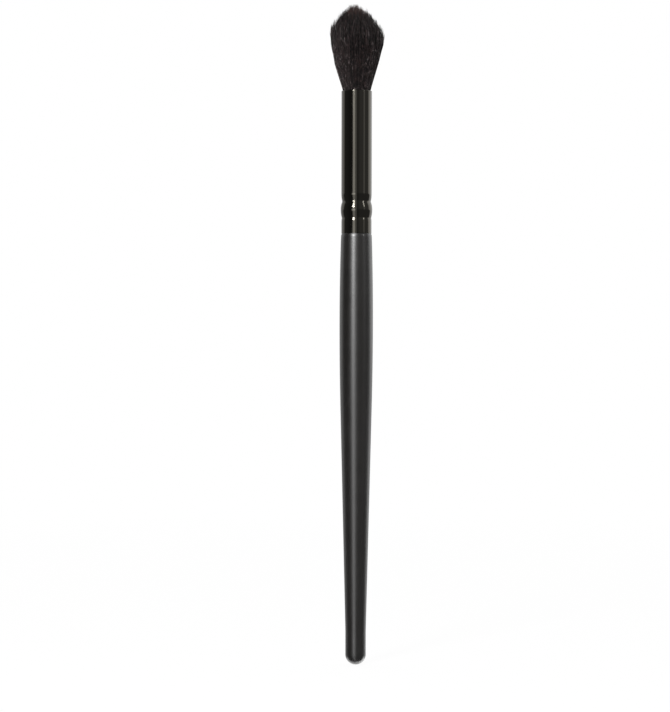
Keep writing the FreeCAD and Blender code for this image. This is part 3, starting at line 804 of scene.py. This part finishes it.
def tuft_paths(looks):
    """Every filament's middle line and radius, ring by ring, from its root to its fine end."""
    random = np.random.default_rng(looks.seed)
    count = looks.strands
    reach, angle = sunflower(count)
    spot = polar(reach, angle)
    wisp_reach, wisp_angle = sunflower(looks.wisps)
    wisp_spot = polar(wisp_reach, wisp_angle) + random.normal(0, WISP_JITTER_SHARE, (looks.wisps, 2))
    lock_reach, lock_angle = sunflower(looks.locks)
    lock_spot = polar(lock_reach, lock_angle) + random.normal(0, LOCK_JITTER_SHARE, (looks.locks, 2))
    wisp = nearest(spot, wisp_spot)
    lock = nearest(wisp_spot, lock_spot)[wisp]
    outer = 1 + 0.7 / math.sqrt(looks.locks) / np.clip(np.linalg.norm(lock_spot, axis=1), 0.3, 1)
    lock_spot = lock_spot * outer[:, None]
    lock_spot /= np.clip(np.linalg.norm(lock_spot, axis=1), 1, None)[:, None]

    # where each filament would meet the crown, found on a fine ladder of heights
    ladder = np.linspace(looks.shoulder_height * 0.9, tuft_tip - mouth_height, 160)
    flank = flank_path(looks, ladder)
    crown = np.where(ladder < looks.shoulder_height, flank, crown_radius(looks, ladder))
    gathered = reach * 0.35 + np.linalg.norm(lock_spot, axis=1)[lock] * 0.65
    meets = ladder[np.argmax(gathered[:, None] * flank[None, :] >= crown[None, :] - 1e-9, axis=1)]
    lock_lift = random.normal(0, LOCK_LIFT, looks.locks) - LOCK_SLANT * lock_spot[:, 0]
    wisp_lift = random.normal(0, WISP_LIFT, looks.wisps)
    off_wisp = np.linalg.norm(spot - wisp_spot[wisp], axis=1) * math.sqrt(looks.wisps)
    shorter = (np.clip(off_wisp, 0, 1.5) * 0.6 + np.abs(random.normal(0, 0.45, count))) * SHORTENING
    free_length = meets + PAST_CROWN + lock_lift[lock] + wisp_lift[wisp] - shorter

    root_length = mouth_height - root_foot
    heights = np.concatenate([
        np.outer(np.ones(count), np.array(ROOT_SHARES) * root_length - root_length),
        np.outer(free_length, FREE_SHARES)], axis=1)
    inside_radius = np.interp(
        np.array(ROOT_SHARES) * root_length,
        np.array(NECK_SHARES) * root_length,
        (looks.waist_radius, looks.waist_radius, looks.neck_radius, looks.mouth_radius))
    inside_radius = inside_radius - 2 * looks.strand_radius
    envelope = np.concatenate([
        np.outer(np.ones(count), inside_radius),
        flank_path(looks, heights[:, len(ROOT_SHARES):])], axis=1)

    # filaments draw together in wisps and wisps in locks, and each has a slight wave of its own
    out = np.clip(heights, 0, None) / looks.shoulder_height
    to_wisp = (TO_WISP_SHARE * smooth_step(out, 0.35, 1.25))[:, :, None]
    to_lock = (TO_LOCK_SHARE * smooth_step(out, 0.30, 1.30))[:, :, None]
    places = spot[:, None, :] + (wisp_spot[wisp] - spot)[:, None, :] * to_wisp
    places = places + (lock_spot[lock][:, None, :] - places) * to_lock
    drift = random.normal(0, LOCK_DRIFT, (looks.locks, 2))[lock]
    drift += random.normal(0, WISP_DRIFT, (looks.wisps, 2))[wisp]
    drift += random.normal(0, STRAND_DRIFT, (count, 2))
    ripple = random.normal(0, STRAND_RIPPLE, (count, 2))
    ripple += random.normal(0, WISP_RIPPLE, (looks.wisps, 2))[wisp]
    phase = random.random(count)[:, None] * math.tau
    pace = random.uniform(4, 10, count)[:, None]
    swing = np.sin(out * pace + phase) * np.clip(out * 2, 0, 1)
    lines = np.zeros(heights.shape + (3,))
    lines[:, :, :2] = places * envelope[:, :, None]
    lines[:, :, :2] += drift[:, None, :] * (out ** 2)[:, :, None]
    lines[:, :, :2] += ripple[:, None, :] * swing[:, :, None]

    # the whole tuft leans a little, and its flanks draw in under the shoulder, more on the left
    lean = -0.05 * smooth_step(out, 0, 0.3) + 0.05 * smooth_step(out, 0.7, 0.95)
    lean -= 0.25 * smooth_step(out, 1.1, 1.45)
    lines[:, :, 0] += lean * MM
    under_shoulder = smooth_step(out, 0.5, 0.8) * (1 - smooth_step(out, 0.95, 1.2))
    aside = lines[:, :, 0] / tuft_widest
    squeeze = np.where(aside < 0, LEFT_SQUEEZE_SHARE, RIGHT_SQUEEZE_SHARE)
    lines[:, :, 0] *= 1 - under_shoulder * squeeze * np.abs(aside)
    lines[:, :, 2] = heights + mouth_height
    radii = looks.strand_radius * np.outer(0.85 + 0.3 * random.random(count), TAPER_SHARES)
    in_mantle = np.linalg.norm(wisp_spot, axis=1) > 0.5
    return lines, radii, draw_columns(random, looks.wisps, in_mantle)[wisp]


def stray_paths(looks, lines, radii):
    """Flicks of a few filaments over the tuft's skin, most of them on its left, shorter than the rest and
    wandering across it. A few of them stand off it."""
    random = np.random.default_rng(looks.seed + 1)
    rim = np.arange(int(len(lines) * SKIN_SHARE), len(lines))
    angle = np.arctan2(lines[rim, 0, 1], lines[rim, 0, 0])
    leftness = 0.3 + np.clip(-np.cos(angle), 0, 1) ** 2
    flick = np.arange(looks.strays) // looks.flick
    flicks = flick[-1] + 1
    chosen = random.choice(rim, flicks, p=leftness / leftness.sum())[flick]
    stray = lines[chosen].copy()
    height = stray[:, :, 2] - mouth_height
    shorter = random.uniform(0.55, 1.02, flicks)[flick] + random.normal(0, 0.02, looks.strays)
    reach = np.where(height > 0, height * shorter[:, None], height)
    for own, old, new in zip(stray, height, reach):
        own[:, 0] = np.interp(new, old, own[:, 0])
        own[:, 1] = np.interp(new, old, own[:, 1])
    stray[:, :, 2] = mouth_height + reach
    out = np.clip(reach, 0, None) / looks.shoulder_height
    outward = stray[:, :, :2] / np.linalg.norm(stray[:, :, :2], axis=2, keepdims=True)
    stands_off = random.random(flicks) < STANDING_SHARE
    standing = random.gamma(1.6, STAND_SPREAD_MM, flicks)
    stand = np.where(stands_off, standing, random.uniform(0, LYING_STAND_MM, flicks))[flick] * MM
    begin = random.uniform(0.2, 0.7, looks.strays)[:, None]
    risen = stand[:, None] * np.clip((out - begin) / (1 - begin), 0, 2) ** 1.5
    stray[:, :, :2] += outward * risen[:, :, None]
    wander = random.normal(0, FLICK_WANDER, (flicks, 1, 2))[flick] * (out ** 1.5)[:, :, None]
    wander += random.normal(0, FLICK_SWING, (flicks, 1, 2))[flick] * np.sin(out * 7)[:, :, None]
    across = wander - outward * (wander * outward).sum(axis=2, keepdims=True)
    spread = random.normal(0, STRAY_SPREAD, (looks.strays, 1, 2)) * smooth_step(out, 0, 0.4)[:, :, None]
    stray[:, :, :2] += across + spread * (1 - 0.6 * smooth_step(reach / reach[:, -1:], 0.6, 1))[:, :, None]
    return stray, radii[chosen], draw_columns(random, flicks, 2)[flick]


def softbox(name, lamp_place, radiance):
    """An area lamp that faces the brush. Azimuth is measured from the camera's side, to its right, and
    wide and tall are the angles that the lamp fills."""
    azimuth, elevation, wide, tall, own_level = lamp_place
    target = Vector((0, 0, LAMPS_AIM))
    turn = math.radians(azimuth)
    rise = math.radians(elevation)
    back = Vector((math.sin(turn) * math.cos(rise), -math.cos(turn) * math.cos(rise), math.sin(rise)))
    facing = (-back).to_track_quat("-Z", "Y").to_euler()
    bpy.ops.object.light_add(type="AREA", location=target + back * LAMP_DISTANCE, rotation=facing)
    lamp = bpy.context.object
    lamp.name = lamp.data.name = name
    lamp.data.shape = "RECTANGLE"
    lamp.data.size = 2 * LAMP_DISTANCE * math.tan(math.radians(wide) / 2)
    lamp.data.size_y = 2 * LAMP_DISTANCE * math.tan(math.radians(tall) / 2)
    lamp.data.energy = own_level * radiance * math.pi * lamp.data.size * lamp.data.size_y
    lamp.visible_camera = False


def light_world(looks):
    """Even light, and for mirrors a white room behind the brush and a dim one in front of it."""
    world = bpy.data.worlds.new("studio")
    bpy.context.scene.world = world
    world.use_nodes = True
    board = Board(world.node_tree)
    ray = board.node("LightPath", None, None, "Is Camera Ray")
    direction = board.node("TexCoord", None, None, "Generated")

    split = board.node("SeparateXYZ", None, {"Vector": direction}, "X")
    azimuth = split.calculate("ARCTAN2", split, split["Y"] * -1)
    rise = split["Z"]

    def above(value, start, soft):
        """Rises from 0 at start to 1, over the length soft."""
        return board.clamp((value - start) / soft)

    def turned(value, start, soft):
        """The same, in degrees."""
        return above(value, math.radians(start), math.radians(soft))

    def strip(left, right, soft):
        """1 between two azimuths in degrees, fading at both."""
        return turned(azimuth, left, soft) * (1 - turned(azimuth, right, soft))

    # the white room behind, lighter above the floor's level and at its edges, and most of all far below
    upward = above(rise, 0.0, 0.05)
    left_start = math.radians(109) - upward * math.radians(8)
    right_start = math.radians(112) - upward * math.radians(16)
    behind_left = above(azimuth * -1, left_start, math.radians(10))
    behind_right = above(azimuth, right_start, math.radians(8))
    behind = behind_left * (looks.room_behind_left + upward * 0.21 + strip(-130, -108, 6) * 0.11)
    behind = behind + behind_right * (looks.room_behind_right + upward * 0.22 + strip(98, 140, 8) * 0.72)
    behind = behind * (4 - 3 * above(rise, -0.38, 0.12))

    # the dim room in front, and the glow of both lamps in it
    right = turned(azimuth, -12, 40) * (looks.room_right + upward * 0.11)
    left = turned(azimuth * -1, 20, 70) * looks.room_left
    front = looks.room_front + right + left
    level_key = strip(-38, -13, 6) * above(rise, -0.08, 0.05) * (1 - upward)
    key_strip = strip(-30, -13, 3) * (looks.key_mirror + 0.45 * upward) + level_key * 2.4
    key_strip = key_strip + strip(-14, -2, 6) * 0.55
    side_strip = strip(52, 62, 4) * upward * looks.side_mirror
    mirrored = behind + front + key_strip + side_strip
    seen = ray.calculate("MAXIMUM", ray["Is Glossy Ray"], ray["Is Transmission Ray"])
    beside = turned(azimuth, 75, 40) + turned(azimuth * -1, 75, 40)
    even = beside * looks.side_fill + looks.fill
    strength = ray + (1 - ray) * (seen * mirrored + (1 - seen) * even)
    background = board.node("Background", None, {"Color": (1, 1, 1, 1), "Strength": strength})
    board.node("OutputWorld", None, {"Surface": background})


def pale_floor():
    """White to the camera, with the brush's own soft shadow near it, and pale to all other light."""
    shadow_reach = 0.15
    shadow_fade = 0.5
    white_near = 0.96
    grey = 0.86
    material, board = new_material("pale_floor")
    camera = board.node("LightPath", None, None, "Is Camera Ray")
    place = board.node("TexCoord", None, None, "Object")
    away = board.node("VectorMath", {"operation": "LENGTH"}, {0: place}, "Value")
    far = board.clamp((away - shadow_reach) / shadow_fade)
    diffuse = board.node("BsdfDiffuse", None, {"Color": (grey, grey, grey, 1)})
    white = board.node("Emission", None, {"Color": (1, 1, 1, 1), "Strength": 1.0})
    whiteness = camera * (white_near + (1 - white_near) * far)
    both = board.node("MixShader", None, {0: whiteness, 1: diffuse, 2: white})
    board.node("OutputMaterial", None, {"Surface": both})
    return material


class BRUSH_OT_handle(bpy.types.Operator):
    """Turn the handle and lacquer it"""

    bl_idname = "brush.handle"
    bl_label = "Handle"

    def execute(self, context):
        looks = context.scene.brush_handle
        piece = lathe("handle_turned", handle_outline(looks, context.scene.brush_ferrule))
        dress(piece, satin_lacquer(looks), "handle")
        return {"FINISHED"}


class BRUSH_OT_ferrule(bpy.types.Operator):
    """Draw the ferrule, roll its crimps and plate it"""

    bl_idname = "brush.ferrule"
    bl_label = "Ferrule"

    def execute(self, context):
        looks = context.scene.brush_ferrule
        piece = lathe("ferrule_tube", ferrule_outline(looks))
        dress(piece, dark_plating(looks), "ferrule")
        return {"FINISHED"}


class BRUSH_OT_tuft(bpy.types.Operator):
    """Lay the hair, lock by lock, from its root to its fine ends"""

    bl_idname = "brush.tuft"
    bl_label = "Tuft"

    def execute(self, context):
        looks = context.scene.brush_tuft
        material = soft_hair(looks)
        lines, radii, columns = tuft_paths(looks)
        thirds = zip(*(np.array_split(values, 3) for values in (lines, radii, columns)))
        bundles = dict(zip(("hair_heart", "hair_middle", "hair_mantle"), thirds))
        bundles["hair_strays"] = stray_paths(looks, lines, radii)
        for name, (own_lines, own_radii, own_columns) in bundles.items():
            piece = strand_mesh(name, len(own_lines), own_lines.shape[1])
            lay_strands(piece, own_lines, own_radii, own_columns)
            dress(piece, material, "bristle_tuft")
        return {"FINISHED"}


class BRUSH_OT_inside(bpy.types.Operator):
    """Finish the thread and the glue that the ferrule hides"""

    bl_idname = "brush.inside"
    bl_label = "Thread and glue"

    def execute(self, context):
        looks = context.scene.brush_inside
        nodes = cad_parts
        dress(nodes["root_binding_thread"], waxed_thread(looks))
        resin = set_resin(looks)
        dress(nodes["root_glue_plug"], resin)
        dress(nodes["tenon_glue_cap"], resin)
        return {"FINISHED"}


class BRUSH_OT_stage(bpy.types.Operator):
    """Set the camera, the floor and the studio's light"""

    bl_idname = "brush.stage"
    bl_label = "Stage"

    def execute(self, context):
        looks = context.scene.brush_stage
        deselect_everything()
        bpy.ops.object.camera_add(
            location=(-looks.camera_side, -looks.camera_distance, looks.camera_height),
            rotation=(math.pi / 2, looks.camera_roll, 0))
        camera = context.object
        camera.data.lens = looks.camera_lens
        camera.data.sensor_width = 36
        context.scene.camera = camera
        bpy.ops.mesh.primitive_plane_add(size=2 * looks.floor_reach)
        floor = context.object
        floor.name = "floor"
        floor.data.materials.append(pale_floor())
        floor.visible_glossy = False
        for name, lamp in KEY_LAMPS.items():
            softbox(name, lamp, looks.key)
        softbox("side", SIDE_LAMP, looks.side)
        light_world(looks)
        context.scene.view_settings.view_transform = "Standard"
        return {"FINISHED"}


OPERATORS = (BRUSH_OT_stage, BRUSH_OT_handle, BRUSH_OT_ferrule, BRUSH_OT_tuft, BRUSH_OT_inside)


class BRUSH_PT_panel(bpy.types.Panel):
    """Lists the brush's pieces in the sidebar"""

    bl_idname = "BRUSH_PT_panel"
    bl_label = "Eyeshadow Brush"
    bl_space_type = "VIEW_3D"
    bl_region_type = "UI"
    bl_category = "Brush"

    def draw(self, context):
        for operator in OPERATORS:
            self.layout.operator(operator.bl_idname)
        for name, group in GROUPS.items():
            box = self.layout.box()
            box.label(text=group.__doc__)
            for item in group.__annotations__:
                box.prop(getattr(context.scene, name), item)


CLASSES = (*GROUPS.values(), *OPERATORS, BRUSH_PT_panel)


def register():
    for item in CLASSES:
        bpy.utils.register_class(item)
    for name, group in GROUPS.items():
        setattr(bpy.types.Scene, name, PointerProperty(type=group))


def unregister():
    for name in GROUPS:
        delattr(bpy.types.Scene, name)
    for item in reversed(CLASSES):
        bpy.utils.unregister_class(item)


def main():
    """Builds every piece."""
    register()
    bpy.ops.brush.stage()
    bpy.ops.brush.handle()
    bpy.ops.brush.ferrule()
    bpy.ops.brush.tuft()
    bpy.ops.brush.inside()


if __name__ == "__main__":
    main()
